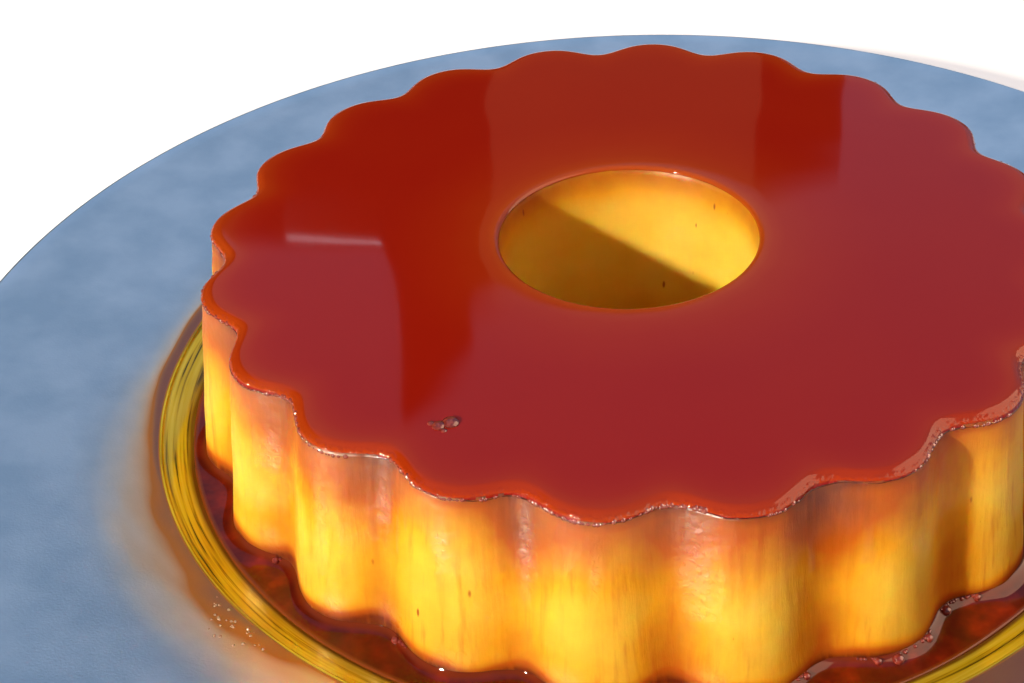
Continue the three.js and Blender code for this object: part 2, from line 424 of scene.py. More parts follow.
CUSTARD_TOP = CARAMEL_BASE + 0.2 * MM
SIDE_TOP = EDGE_Z - 0.15 * MM
SIDE_LOW = BASE_Z + FOOT_HEIGHT
HOLE_WIDTH, HOLE_HEIGHT = 1.3 * MM, 0.9 * MM  # the caramel's rounding at the hole's mouth
HOLE_LIP_Z = TOP_Z - HOLE_HEIGHT
RUN_COUNT = 60
HOLE_WET, HOLE_DRAWN = 0.22, 0.1  # the film and the streaks on the hole's wall
FILM_LEAN = 0.18  # slope by which the wet film leans outwards, as a hanging film does
FILM_WAVE = 0.9 * MM
# Where drops hang on the side: direction in degrees, height, spread up and width in mm.
BEADED = [
    (218, 35, 3, 2.0), (230.5, 34, 8, 1.6), (238.5, 40, 6, 1.4), (248, 38, 5, 1.2),
    (257.5, 38, 8, 1.5), (266, 38, 4, 1.0), (277, 37, 9, 3.4), (277.5, 26, 2, 3.0),
    (217, 11, 2, 3.0), (232, 10, 2, 3.0), (239, 11, 2, 3.0), (249, 9, 2, 3.6),
    (262, 9, 2, 3.6), (279, 9, 2, 3.0),
]


def runs(turn, z):
    """Thin caramel that has run down the side: each run is a narrow strip that sways a little and
    ends in a rounded drop. Returns how thick it stands, in metres, at each point."""
    rng = np.random.default_rng(31)
    thick = np.zeros(np.broadcast(turn, z).shape)
    for k in range(RUN_COUNT):
        notch = (k % FLUTES + 0.5) / FLUTES + FLUTE_AT / (2 * np.pi)
        centre = notch + rng.normal(0, 0.007) if k < FLUTES else rng.uniform(0, 1)
        half_width = rng.uniform(0.5, 1.5) * MM
        length = rng.uniform(4, 30) * MM
        height = rng.uniform(0.05, 0.14) * MM
        sway = 0.6 * MM * np.sin((EDGE_Z - z) / (5 * MM) + rng.uniform(0, 6))
        side = (around(turn, centre) * 2 * np.pi * FLAN_R + sway) / half_width
        down = (EDGE_Z - z) / length
        drop = 0.6 + 0.5 * step(0.6, 0.95, down)
        inside = 1 - (side / drop) ** 2 - step(0.9, 1.02, down) * 2
        thick = np.maximum(thick, height * drop * np.sqrt(np.clip(inside, 0, 1)))
    return thick


def film_edge(turn):
    """The height down to which a wet film covers the side, an uneven line round the flan."""
    fall = 8 + 26 * patches(5, turn, 0, 46, 1) ** 1.5 + 3 * patches(6, turn, 0, 230, 1)
    return EDGE_Z - fall * MM


def beaded(turn, z):
    """Where tiny drops of syrup hang, in loose upright bands: each band is 1 in its middle and
    falls off as exp(-d^2) across and up."""
    amount = 0
    for degrees, height, spread, width in BEADED:
        across = around(turn, degrees / 360) * 2 * np.pi * FLAN_R / (width * MM)
        up = (z - height * MM) / (1.3 * spread * MM)
        amount = np.maximum(amount, np.exp(-(across**2) - up**2))
    return amount


def custard_side(turn, z):
    """The side's small relief, how far caramel has soaked in, with painted shade that darkens the
    notches, where it is wet, and where a pale sheen is painted on the film: sums of smooth random
    patches, the runs, and steps with the height."""
    rise = (z - BASE_Z) / (TOP_Z - BASE_Z)
    streak = patches(11, turn, rise, 420, 3) * patches(12, turn, rise, 90, 6)
    swell = patches(13, turn, rise, 110, 9) - 0.5
    thick = runs(turn, z)
    wet = np.maximum(step(-3 * MM, 2 * MM, z - film_edge(turn)), step(0, 0.03 * MM, thick))
    relief = 0.3 * MM * swell - 0.15 * MM * streak + thick + 0.06 * MM * wet
    top_soak = step(0.5, 1.0, rise + 0.24 * (patches(14, turn, 0, 60, 1) - 0.5))
    low_soak = 1 - step(4.5 * MM, 12 * MM, z + 3 * MM * (patches(15, turn, 0, 70, 1) - 0.5))
    # Painted shade, partly caramel stain: the notches are darkened where shade falls between the
    # flutes.
    notch = (0.5 - 0.5 * np.cos(FLUTES * (2 * np.pi * turn - FLUTE_AT))) ** 2
    notch = notch * (0.5 + patches(16, turn, rise, 20, 3))
    under_lip = step(-3.2 * MM, 0.3 * MM, z - EDGE_Z)
    low_soak = 0.95 * low_soak**1.5 + 0.1 * (1 - step(8 * MM, 26 * MM, z))
    broad = step(0.6, 0.85, patches(18, turn, 0.6 * rise, 96, 2)) * (1 - step(0.6, 0.95, rise))
    soak = 0.62 * top_soak + 0.2 * under_lip + low_soak
    soak = soak + 0.3 * notch + 0.1 * broad + 0.5 * thick / MM
    # Painted sheen: a pale milky colour on part of the wet film near the top stands in for its
    # reflection.
    veil = wet * step(0.3, 0.7, patches(17, turn, 0, 53, 1)) * step(-13 * MM, -1 * MM, z - EDGE_Z)
    return relief, np.clip(soak, 0, 1), wet, veil


def even_rows(count, value):
    """Rows of one value, for a part of the ring's section."""
    return np.full((count, FLAN_COLUMNS), float(value))


def custard_arrays():
    """The custard as one closed ring: foot, side, top under the caramel, and the hole's wall."""
    foot_turn = np.linspace(-np.pi / 2, 0, 6)[:-1, None]
    foot_z = BASE_Z + FOOT_HEIGHT * (1 + np.sin(foot_turn))
    foot_in = FOOT_WIDTH * (1 - np.cos(foot_turn))
    side_z = np.linspace(SIDE_LOW, SIDE_TOP, 50)[:, None]
    relief, side_soak, side_wet, side_veil = custard_side(TURN, side_z)
    foot_r = flan_radius(ANGLE, foot_z) - foot_in + relief[:1]
    side_r = flan_radius(ANGLE, side_z) + relief
    top_r = side_r[-1:] + 0.5 * (hole_radius(CUSTARD_TOP) - side_r[-1:])
    hole_z = np.linspace(HOLE_LIP_Z - 0.05 * MM, BASE_Z, 31)[:, None]
    calm = step(1 * MM, 6 * MM, HOLE_LIP_Z - hole_z)
    hole_relief = 0.5 * MM * calm * (patches(21, TURN, hole_z / TOP_Z, 26, 7) - 0.5)
    hole_r = hole_radius(hole_z) + hole_relief + 0.02 * MM
    hole_z = np.vstack([[[HOLE_LIP_Z + 0.25 * MM]], hole_z])
    hole_r = np.vstack([hole_r[:1] + 0.25 * MM, hole_r])
    radius = np.vstack([foot_r, side_r, top_r, hole_r])
    height = np.vstack([a + 0 * TURN for a in (foot_z, side_z, [[CUSTARD_TOP]], hole_z)])
    hole_soak = 0.5 * step(HOLE_LIP_Z - 13 * MM, HOLE_LIP_Z, hole_z) ** 1.3
    # Painted shade: the hole's wall darkens towards its foot, where shade falls deep in the hole.
    hole_soak = hole_soak + 0.25 * (1 - step(6 * MM, 28 * MM, hole_z))
    hole_soak = hole_soak + 0.5 * (1 - step(6 * MM, 10 * MM, hole_z)) + even_rows(1, 0)
    foot, side, hole = len(foot_z), len(side_z), len(hole_z)
    soak = np.vstack([even_rows(foot, 0.9), side_soak, side_soak[-1:], hole_soak])
    wet = np.vstack([even_rows(foot, 1), side_wet, side_wet[-1:], even_rows(hole, HOLE_WET)])
    drawn = np.vstack([even_rows(foot + side, 1), even_rows(1, 0), even_rows(hole, HOLE_DRAWN)])
    veil = np.vstack([even_rows(foot, 0), side_veil, even_rows(1 + hole, 0)])
    droplets = beaded(TURN, height) * (radius > 2 * HOLE_R)
    points = np.stack([FLAN_X + radius * np.cos(ANGLE), radius * np.sin(ANGLE), height], -1)
    quads = ring_quads(len(radius), FLAN_COLUMNS, True)
    return points.reshape(-1, 3), quads, soak, wet, drawn, droplets, veil


def set_custard():
    """Baked egg custard. It is yolk yellow and slightly see-through, so that its shade glows
    orange; soaked caramel turns it amber, and painted shade darkens its notches and the hole's
    wall low down. Its moist skin is nearly matt. A thin film of syrup over part of it gives pale
    upright bands, partly as a pale sheen painted into its colour, and the drops in it glint."""
    material, tree = new_material("baked_egg_custard")
    place = add_node(tree, "TexCoord").outputs["Object"]
    # The soak attribute carries caramel stain and painted shade.
    soak = add_node(tree, "Attribute", attribute_name="soak").outputs["Fac"]
    wet = add_node(tree, "Attribute", attribute_name="wet").outputs["Fac"]
    drawn = add_node(tree, "Attribute", attribute_name="drawn").outputs["Fac"]
    clouds = add_node(tree, "TexNoise", {"Vector": place, "Scale": per_mm(9), "Detail": 3.0})
    stained = add_node(
        tree, "Math", {0: clouds.outputs["Fac"], 1: 0.26, 2: soak}, operation="MULTIPLY_ADD"
    )
    centred = add_node(tree, "Math", {0: stained.outputs[0], 1: 0.12}, operation="SUBTRACT")
    base = add_node(
        tree, "ValToRGB", {"Fac": centred.outputs[0]},
        stops=[(0.0, "#f0c846"), (0.26, "#e8a822"), (0.6, "#ba5e0e"), (1.0, "#6e2608")],
    )
    upright = add_node(
        tree, "Mapping", {"Vector": place, "Scale": (per_mm(1.6), per_mm(1.6), per_mm(60))}
    )
    streaks = add_node(
        tree, "TexNoise", {"Vector": upright.outputs[0], "Scale": 1.0, "Detail": 3.0}
    )
    bands = add_node(tree, "TexNoise", {"Vector": place, "Scale": per_mm(16), "Detail": 1.0})
    some = add_node(
        tree, "MapRange",
        {"Value": bands.outputs["Fac"], "From Min": 0.42, "From Max": 0.6,
         "To Min": 0.12, "To Max": 0.42},
    )
    streak_part = add_node(
        tree, "MapRange",
        {"Value": streaks.outputs["Fac"], "From Min": 0.5, "From Max": 0.72,
         "To Max": some.outputs["Result"]},
    )
    side_only = add_node(
        tree, "Math", {0: streak_part.outputs["Result"], 1: drawn}, operation="MULTIPLY"
    )
    streaked = add_node(
        tree, "Mix", {0: side_only.outputs[0], 6: base.outputs["Color"], 7: srgb("#c25e0c")},
        data_type="RGBA",
    )
    cells = add_node(
        tree, "Mapping", {"Vector": place, "Scale": (per_mm(3.6), per_mm(3.6), per_mm(10)),
                          "Rotation": (0.25, -0.2, 0)}
    )
    pits = add_node(tree, "TexVoronoi", {"Vector": cells.outputs[0], "Scale": 1.0})
    rare = add_node(tree, "SeparateColor", {"Color": pits.outputs["Color"]}).outputs["Red"]
    small = add_node(tree, "MapRange", {"Value": rare, "From Min": 0.55, "To Max": 0.15})
    sunk = add_node(
        tree, "Math", {0: small.outputs["Result"], 1: pits.outputs["Distance"]},
        operation="SUBTRACT",
    )
    pit_part = add_node(
        tree, "Math", {0: sunk.outputs[0], 1: 14.0}, operation="MULTIPLY", use_clamp=True
    )
    # Painted sheen: the pale colour laid over the film's bands.
    veil = add_node(tree, "Attribute", attribute_name="veil").outputs["Fac"]
    sheen_share = add_node(tree, "Math", {0: veil, 1: 0.08}, operation="MULTIPLY")
    veiled = add_node(
        tree, "Mix", {0: sheen_share.outputs[0], 6: streaked.outputs[2], 7: srgb("#e8b894")},
        data_type="RGBA",
    )
    pitted = add_node(
        tree, "Mix", {0: pit_part.outputs[0], 6: veiled.outputs[2], 7: srgb("#b05a10")},
        data_type="RGBA",
    )
    skin = add_node(tree, "TexNoise", {"Vector": place, "Scale": per_mm(1.3), "Detail": 4.0})
    ribs = add_node(tree, "Math", {0: streaks.outputs["Fac"], 1: drawn}, operation="MULTIPLY")
    height = add_node(
        tree, "Math", {0: ribs.outputs[0], 1: 2.0, 2: skin.outputs["Fac"]}, operation="MULTIPLY_ADD"
    )
    dented = add_node(
        tree, "Math", {0: pit_part.outputs[0], 1: -1.5, 2: height.outputs[0]},
        operation="MULTIPLY_ADD",
    )
    bump = add_node(
        tree, "Bump", {"Height": dented.outputs[0], "Strength": 0.6, "Distance": 0.1 * MM}
    )
    droplets = add_node(tree, "Attribute", attribute_name="droplets").outputs["Fac"]
    beads = add_node(tree, "TexNoise", {"Vector": place, "Scale": per_mm(1.1), "Detail": 0.0})
    drops = add_node(
        tree, "MapRange", {"Value": beads.outputs["Fac"], "From Min": 0.5, "From Max": 0.72},
        interpolation_type="SMOOTHSTEP",
    )
    beading = add_node(
        tree, "Math", {0: drops.outputs["Result"], 1: droplets}, operation="MULTIPLY"
    )
    beaded_skin = add_node(
        tree, "Bump",
        {"Height": beading.outputs[0], "Strength": 1.0, "Distance": 0.14 * MM,
         "Normal": bump.outputs["Normal"]},
    )
    shine = add_node(
        tree, "MapRange",
        {"Value": beading.outputs[0], "From Min": 0.02, "From Max": 0.2,
         "To Min": 0.5, "To Max": 0.15},
    )
    height_up = add_node(tree, "SeparateXYZ", {"Vector": place}).outputs["Z"]
    leaning = add_node(
        tree, "Math", {0: height_up, 1: -FILM_LEAN / FILM_WAVE}, operation="MULTIPLY"
    )
    ripples = add_node(tree, "TexNoise", {"Vector": place, "Scale": per_mm(4), "Detail": 2.0})
    rippled = add_node(
        tree, "Math", {0: ripples.outputs["Fac"], 1: 0.55, 2: leaning.outputs[0]},
        operation="MULTIPLY_ADD",
    )
    film = add_node(
        tree, "Bump",
        {"Height": rippled.outputs[0], "Strength": 1.0, "Distance": FILM_WAVE,
         "Normal": bump.outputs["Normal"]},
    )
    film_part = add_node(
        tree, "Math", {0: wet, 1: 0.46, 2: droplets}, operation="MULTIPLY_ADD", use_clamp=True
    )
    shader = add_node(
        tree, "BsdfPrincipled",
        {"Base Color": pitted.outputs[2], "Roughness": shine.outputs["Result"], "IOR": 1.4,
         "Specular IOR Level": 0.05, "Subsurface Weight": 1.0,
         "Subsurface Radius": (1.0, 0.4, 0.1),
         "Subsurface Scale": 3.6 * MM, "Coat Weight": film_part.outputs[0],
         "Coat Roughness": 0.38, "Coat IOR": 1.4, "Normal": beaded_skin.outputs["Normal"],
         "Coat Normal": film.outputs["Normal"]},
    )
    add_node(tree, "OutputMaterial", {"Surface": shader.outputs["BSDF"]})
    return material


points, quads, soak, wet, drawn, droplets, veil = custard_arrays()
custard = make_piece(
    "custard_ring", points, quads, [], set_custard(),
    soak=soak, wet=wet, drawn=drawn, droplets=droplets, veil=veil,
)
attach(custard, "root")
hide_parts("flan_custard")

# ---------------------------------------------------------------------------------------------
# The caramel layer. Sugar boiled dark and poured in the mould first; the custard's water turned
# it to thick syrup. It lies level like a mirror, thins over the edges, where it turns orange, and
# ends in a ragged lip just below them.

OUTER_ROUND, OUTER_TURN = 4 * MM, math.radians(47)  # the outer edge's radius and how far it turns
SKIN = 0.1 * MM  # how far the layer stands out from the custard below the rounding
SIDE_Z = TOP_Z - OUTER_ROUND * (1 - math.cos(OUTER_TURN))  # where the rounding ends
LIP_BEAD, LIP_BEAD_ROWS = 0.07 * MM, 7
LIP_DEPTH = 1.05  # colour depth under the lip and in its bead, which look darkest
SKIN_DEPTHS = [1.0, 0.85, 0.7, 0.55]  # and from there up the skin


def lip_drop(turn):
    """How far the layer's ragged lip hangs below the rounded edge."""
    slow = patches(41, turn, 0, 37, 1) ** 2
    fine = patches(42, turn, 0, 280, 1)
    return (0.15 + 0.9 * slow + 0.5 * fine) * MM


def caramel_arrays():
    """The layer as one closed ring. Its upper face is flat; outside it rounds down in an arc to
    the lip, a thin skin with a bead along its edge, and at the hole in a quarter ellipse."""
    low_z = SIDE_Z - lip_drop(TURN)
    bead = np.linspace(-np.pi / 2, np.pi / 2, LIP_BEAD_ROWS)[:, None]
    bead_z = low_z + LIP_BEAD * 1.6 * np.sin(bead)
    bead_r = flan_radius(ANGLE, bead_z) + LIP_BEAD * (0.4 + 1.6 * np.cos(bead))
    share = np.linspace(0, 1, 6)[1:, None]
    skin_z = bead_z[-1] + share * (SIDE_Z - bead_z[-1])
    skin_r = flan_radius(ANGLE, skin_z) + SKIN
    flat_r = flan_radius(ANGLE, SIDE_Z) + SKIN - OUTER_ROUND * math.sin(OUTER_TURN)
    over = np.linspace(OUTER_TURN, 0, 15)[1:, None]
    over_z = TOP_Z - OUTER_ROUND * (1 - np.cos(over)) + 0 * TURN
    over_r = flat_r + OUTER_ROUND * np.sin(over)
    mouth_r = hole_radius(HOLE_LIP_Z) + HOLE_WIDTH
    across = (np.linspace(0, 1, 18)[1:-1, None]) ** 1.3
    top_r = flat_r + across * (mouth_r - flat_r)
    into = np.linspace(np.pi / 2, np.pi, 11)[:, None]
    into_z = HOLE_LIP_Z + HOLE_HEIGHT * np.sin(into) + 0 * TURN
    into_r = mouth_r + HOLE_WIDTH * np.cos(into) + 0 * TURN
    base_z = even_rows(1, CARAMEL_BASE)
    radius = np.vstack([
        flan_radius(ANGLE, base_z) - 1.2 * MM, bead_r, skin_r, over_r, top_r, into_r,
        hole_radius(base_z) + 0.8 * MM,
    ])
    height = np.vstack([base_z, bead_z, skin_z, over_z, TOP_Z + 0 * top_r, into_z, base_z])
    outside = (flan_radius(ANGLE, SIDE_Z) - radius) / MM
    inside = (radius - hole_radius(TOP_Z)) / MM
    sag = patches(44, TURN, radius / (100 * MM), 24, 4)
    depth = 0.4 + 0.6 * step(-2, 13, outside + 4 * (sag - 0.5)) ** 0.8
    depth = 0.9 * depth * (0.55 + 0.45 * step(-0.4, 4.6, inside))
    depth = depth * (0.62 + 0.38 * step(0, 30, inside))
    skin_from = 1 + LIP_BEAD_ROWS
    depth[:skin_from] = LIP_DEPTH
    depth[skin_from : skin_from + len(SKIN_DEPTHS)] = np.array(SKIN_DEPTHS)[:, None]
    edge = 1 - step(0.1, 1.2, outside)
    points = np.stack([FLAN_X + radius * np.cos(ANGLE), radius * np.sin(ANGLE), height], -1)
    return points.reshape(-1, 3), ring_quads(len(radius), FLAN_COLUMNS, True), depth, edge


def poured_caramel():
    """Set caramel turned to syrup: dark red where it is deep, orange where it is thin over the
    yellow custard. It mirrors like glass, with a slight swell and fine beads along its edge."""
    material, tree = new_material("dark_caramel")
    place = add_node(tree, "TexCoord").outputs["Object"]
    depth = add_node(tree, "Attribute", attribute_name="depth").outputs["Fac"]
    edge = add_node(tree, "Attribute", attribute_name="edge").outputs["Fac"]
    clouds = add_node(tree, "TexNoise", {"Vector": place, "Scale": per_mm(34), "Detail": 3.0})
    uneven = add_node(
        tree, "Math", {0: clouds.outputs["Fac"], 1: 0.18, 2: depth}, operation="MULTIPLY_ADD"
    )
    centred = add_node(tree, "Math", {0: uneven.outputs[0], 1: 0.09}, operation="SUBTRACT")
    colour = add_node(
        tree, "ValToRGB", {"Fac": centred.outputs[0]},
        stops=[(0.0, "#cf6a0d"), (0.27, "#b04a10"), (0.45, "#a43208"), (0.68, "#9c2005"),
               (0.96, "#951405"), (1.0, "#4e1608")],
    )
    swell = add_node(tree, "TexNoise", {"Vector": place, "Scale": per_mm(48), "Detail": 1.0})
    beads = add_node(tree, "TexNoise", {"Vector": place, "Scale": per_mm(1.1), "Detail": 1.0})
    fine = add_node(tree, "Math", {0: beads.outputs["Fac"], 1: edge}, operation="MULTIPLY")
    height = add_node(
        tree, "Math", {0: fine.outputs[0], 1: 1.8, 2: swell.outputs["Fac"]},
        operation="MULTIPLY_ADD",
    )
    bump = add_node(
        tree, "Bump", {"Height": height.outputs[0], "Strength": 1.0, "Distance": 0.25 * MM}
    )
    shader = add_node(
        tree, "BsdfPrincipled",
        {"Base Color": colour.outputs["Color"], "Roughness": 0.035, "IOR": 1.31,
         "Normal": bump.outputs["Normal"]},
    )
    add_node(tree, "OutputMaterial", {"Surface": shader.outputs["BSDF"]})
    return material


points, quads, depth, edge = caramel_arrays()
caramel = make_piece("caramel_layer", points, quads, [], poured_caramel(), depth=depth, edge=edge)
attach(caramel, "root")
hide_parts("caramel_top")

# ---------------------------------------------------------------------------------------------
# The loose caramel. Thin syrup that ran off when the mould was lifted fills the well and the foot
# of the hole, and is drawn up where it wets the custard and the steel.

CONTACT_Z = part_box("caramel_sauce")[1].z  # where its surface meets the flan
FLAN_MENISCUS = 1.6 * MM
SAUCE_Z = CONTACT_Z - FLAN_MENISCUS
WALL_MENISCUS = 0.15 * MM
MENISCUS_REACH = 1.3 * MM  # distance over which the rise falls to about a third
SAUCE_LAP = 0.05 * MM  # it reaches this far into the custard, so that no gap shows


def drawn_up(rise, distance):
    """How far the syrup climbs at a distance from a face that it wets: the rise at the face times
    exp(-distance / reach)."""
    return rise * np.exp(-distance / MENISCUS_REACH)


def sauce_arrays():
    """The syrup in the well as one closed ring between the flan and the plate's wall. Also returns
    its depth over the steel and its distance from the flan."""
    wall = wall_section(0.02 * MM)
    wall = wall[wall[:, 1] < SAUCE_Z + WALL_MENISCUS]
    wall_x = wall[:, :1] * np.cos(ANGLE)
    wall_y = wall[:, :1] * np.sin(ANGLE)
    wall_z = wall[:, 1:] + 0 * TURN
    contact_r = flan_radius(ANGLE, CONTACT_Z) - SAUCE_LAP
    contact_x, contact_y = FLAN_X + contact_r * np.cos(ANGLE), contact_r * np.sin(ANGLE)
    width = np.hypot(wall_x[-1] - contact_x, wall_y[-1] - contact_y)
    share = (np.linspace(1, 0, 26)[1:, None]) ** 1.8
    surface_x = contact_x + share * (wall_x[-1] - contact_x)
    surface_y = contact_y + share * (wall_y[-1] - contact_y)
    climb = drawn_up(FLAN_MENISCUS, share * width) + drawn_up(WALL_MENISCUS, (1 - share) * width)
    surface_z = SAUCE_Z + climb
    foot_r = flan_radius(ANGLE, BASE_Z) - FOOT_WIDTH - 1 * MM
    foot_x, foot_y = FLAN_X + foot_r * np.cos(ANGLE), foot_r * np.sin(ANGLE)
    x = np.vstack([foot_x[None], wall_x, surface_x, foot_x[None]])
    y = np.vstack([foot_y[None], wall_y, surface_y, foot_y[None]])
    z = np.vstack([even_rows(1, BASE_Z), wall_z, surface_z, even_rows(1, CONTACT_Z - 2 * MM)])
    points = np.stack([x, y, z], -1).reshape(-1, 3)
    bottom = np.interp(np.hypot(x, y), wall[:, 0], wall[:, 1])
    from_flan = np.hypot(x - contact_x, y - contact_y)
    return points, ring_quads(len(x), FLAN_COLUMNS, True), z - bottom, from_flan


def loose_caramel():
    """Thin caramel syrup under a wet surface: orange brown where it thins out up the steel, dark
    where it is deep, with redder clouds that light gets through."""
    material, tree = new_material("caramel_syrup")
    place = add_node(tree, "TexCoord").outputs["Object"]
    clouds = add_node(tree, "TexNoise", {"Vector": place, "Scale": per_mm(9), "Detail": 3.0})
    deep = add_node(
        tree, "ValToRGB", {"Fac": clouds.outputs["Fac"]},
        stops=[(0.35, "#4a1006"), (0.52, "#621706"), (0.64, "#7e2008"), (0.75, "#982a0a")],
    )
    depth = add_node(tree, "Attribute", attribute_name="depth").outputs["Fac"]
    thin = add_node(
        tree, "MapRange",
        {"Value": depth, "From Min": 0.0, "From Max": 1.1 * MM, "To Min": 1.0, "To Max": 0.0},
        interpolation_type="SMOOTHSTEP",
    )
    shallow = add_node(
        tree, "Mix", {0: thin.outputs["Result"], 6: deep.outputs["Color"], 7: srgb("#7c3c10")},
        data_type="RGBA",
    )
    away = add_node(tree, "Attribute", attribute_name="away").outputs["Fac"]
    close = add_node(
        tree, "MapRange",
        {"Value": away, "From Min": 0.0, "From Max": 2.2 * MM, "To Min": 0.8, "To Max": 0.0},
        interpolation_type="SMOOTHSTEP",
    )
    colour = add_node(
        tree, "Mix", {0: close.outputs["Result"], 6: shallow.outputs[2], 7: srgb("#6e2a0a")},
        data_type="RGBA",
    )
    shader = add_node(
        tree, "BsdfPrincipled", {"Base Color": colour.outputs[2], "Roughness": 0.03, "IOR": 1.33}
    )
    add_node(tree, "OutputMaterial", {"Surface": shader.outputs["BSDF"]})
    return material


syrup = loose_caramel()
points, quads, depth, away = sauce_arrays()
well_sauce = make_piece("syrup_in_well", points, quads, [], syrup, depth=depth, away=away)
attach(well_sauce, "root")
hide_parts("caramel_sauce")


def hole_sauce_section():
    """The syrup at the foot of the hole, from its underside's centre round to its surface's."""
    contact_r = hole_radius(CONTACT_Z) + SAUCE_LAP
    distance = np.linspace(0, 1, 20) ** 2 * contact_r
    surface = np.stack([contact_r - distance, SAUCE_Z + drawn_up(FLAN_MENISCUS, distance)], -1)
    return np.vstack([[[0, BASE_Z], [hole_radius(BASE_Z) + SAUCE_LAP, BASE_Z]], surface])


points, quads, triangles = turned(hole_sauce_section(), 360, FLAN_X)
depth = points[:, 2] - SHEET
away = hole_radius(CONTACT_Z) - np.hypot(points[:, 0] - FLAN_X, points[:, 1])
hole_sauce = make_piece("syrup_in_hole", points, quads, triangles, syrup, depth=depth, away=away)
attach(hole_sauce, "root")
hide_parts("caramel_sauce_in_hole")

# ---------------------------------------------------------------------------------------------
# Bubbles and beads. Air bubbles stick to the flan's foot and one small cluster sits on top; tiny
# beads of syrup hang along the caramel's lip and lie splashed on the rim, and catch the light.

BUBBLE_ROWS, BUBBLE_COLUMNS = 9, 16
CLUSTER_COUNT = 7  # bubbles in each cluster at the foot
# Directions of the clusters at the foot, in degrees.
CLUSTERS = [218.5, 241.6, 289.5, 297, 301.5, 305, 310.5, 313.5, 30, 75, 110, 160]
# The cluster on top: x, y and radius in mm.
TOP_BUBBLES = [(-40.2, -72.4, 1.9), (-42.6, -73.4, 1.5), (-44.3, -72.6, 0.8), (-41.4, -75.0, 0.7)]


def balls(centres, sizes):
    """Points, quads and triangles of many small ellipsoids, one for each centre and size."""
    polar = np.linspace(-np.pi / 2, np.pi / 2, BUBBLE_ROWS)
    section = np.stack([np.cos(polar), np.sin(polar)], -1)
    points, quads, triangles = turned(section, BUBBLE_COLUMNS)
    centres, sizes = np.asarray(centres)[:, None], np.asarray(sizes)[:, None]
    offset = len(points) * np.arange(len(centres))[:, None, None]
    placed = (centres + sizes * points[None]).reshape(-1, 3)
    return placed, (offset + quads[None]).reshape(-1, 4), (offset + triangles[None]).reshape(-1, 3)


def at_contact(degrees, out):
    """Places at the flan's foot, on the syrup, at directions in degrees and a distance out."""
    angle = np.radians(degrees)
    radius = flan_radius(angle, CONTACT_Z) + out
    height = SAUCE_Z + drawn_up(FLAN_MENISCUS, out)
    return np.stack([FLAN_X + radius * np.cos(angle), radius * np.sin(angle), height], -1)


def foot_bubbles():
    """A few bubbles crowded at each of the clusters' directions, the largest first."""
    rng = np.random.default_rng(71)
    spread = rng.normal(0, 0.9, (len(CLUSTERS), CLUSTER_COUNT))
    degrees = (np.array(CLUSTERS)[:, None] + spread).ravel()
    size = rng.uniform(0.28, 0.5, (len(CLUSTERS), CLUSTER_COUNT)) * MM
    size[:, 0] = rng.uniform(0.8, 1.3, len(CLUSTERS)) * MM
    size = size.ravel()
    return at_contact(degrees, size * 0.9), np.stack([size, size, size * 0.9], -1)


def syrup_bubble():
    """A thin bubble of syrup. It is mottled dark red, like what lies behind it, and glints."""
    material, tree = new_material("syrup_bubble")
    place = add_node(tree, "TexCoord").outputs["Object"]
    mottle = add_node(tree, "TexNoise", {"Vector": place, "Scale": per_mm(0.9), "Detail": 1.0})
    colour = add_node(
        tree, "ValToRGB", {"Fac": mottle.outputs["Fac"]},
        stops=[(0.35, "#6a2018"), (0.65, "#8e3a2c")],
    )
    shader = add_node(
        tree, "BsdfPrincipled",
        {"Base Color": colour.outputs["Color"], "Roughness": 0.03, "IOR": 1.6},
    )
    add_node(tree, "OutputMaterial", {"Surface": shader.outputs["BSDF"]})
    return material


centres, sizes = foot_bubbles()
top_places = np.array([(x, y, TOP_Z / MM) for x, y, size in TOP_BUBBLES]) * MM
top_sizes = np.array([(size, size, 0.5 * size) for x, y, size in TOP_BUBBLES]) * MM
bubble_shapes = balls(np.vstack([centres, top_places]), np.vstack([sizes, top_sizes]))
bubbles = make_piece("syrup_bubbles", *bubble_shapes, syrup_bubble())
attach(bubbles, "root")

# The splash on the rim: its direction and spread in degrees, where it starts and how far it goes.
SPLASH = {"from": 224.5, "radius": 123 * MM, "spread": (4.5, 3.4 * MM), "count": 34}


def lip_beads():
    """Tiny drops that hang in loose rows along the caramel layer's lip."""
    rng = np.random.default_rng(83)
    turn = rng.uniform(0, 1, 900)
    turn = turn[patches(84, turn, 0, 64, 1) > 0.5]
    size = (0.35 + 0.4 * rng.uniform(0, 1, len(turn)) ** 2) * MM
    z = SIDE_Z - lip_drop(turn) + 0.15 * size
    angle = 2 * np.pi * turn
    radius = flan_radius(angle, z) + SKIN - 0.6 * size
    return np.stack([FLAN_X + radius * np.cos(angle), radius * np.sin(angle), z], -1), size


def splash_beads():
    """Droplets thrown on the rim, as a loose patch about one place."""
    rng = np.random.default_rng(82)
    angle = np.radians(rng.normal(SPLASH["from"], SPLASH["spread"][0] / 2, SPLASH["count"]))
    radius = SPLASH["radius"] + np.abs(rng.normal(0, SPLASH["spread"][1], SPLASH["count"]))
    size = rng.uniform(0.16, 0.46, SPLASH["count"]) * MM
    height = rim_height(radius) - 0.3 * size
    return np.stack([radius * np.cos(angle), radius * np.sin(angle), height], -1), size


def bead_syrup():
    """A bead of thin syrup: amber along the lip, pale brown on the bright rim, and very shiny."""
    material, tree = new_material("syrup_bead")
    on_metal = add_node(tree, "Attribute", attribute_name="on_metal").outputs["Fac"]
    colour = add_node(
        tree, "ValToRGB", {"Fac": on_metal}, stops=[(0.0, "#8a3010"), (1.0, "#a88868")]
    )
    shader = add_node(
        tree, "BsdfPrincipled",
        {"Base Color": colour.outputs["Color"], "Roughness": 0.05, "IOR": 2.0},
    )
    add_node(tree, "OutputMaterial", {"Surface": shader.outputs["BSDF"]})
    return material


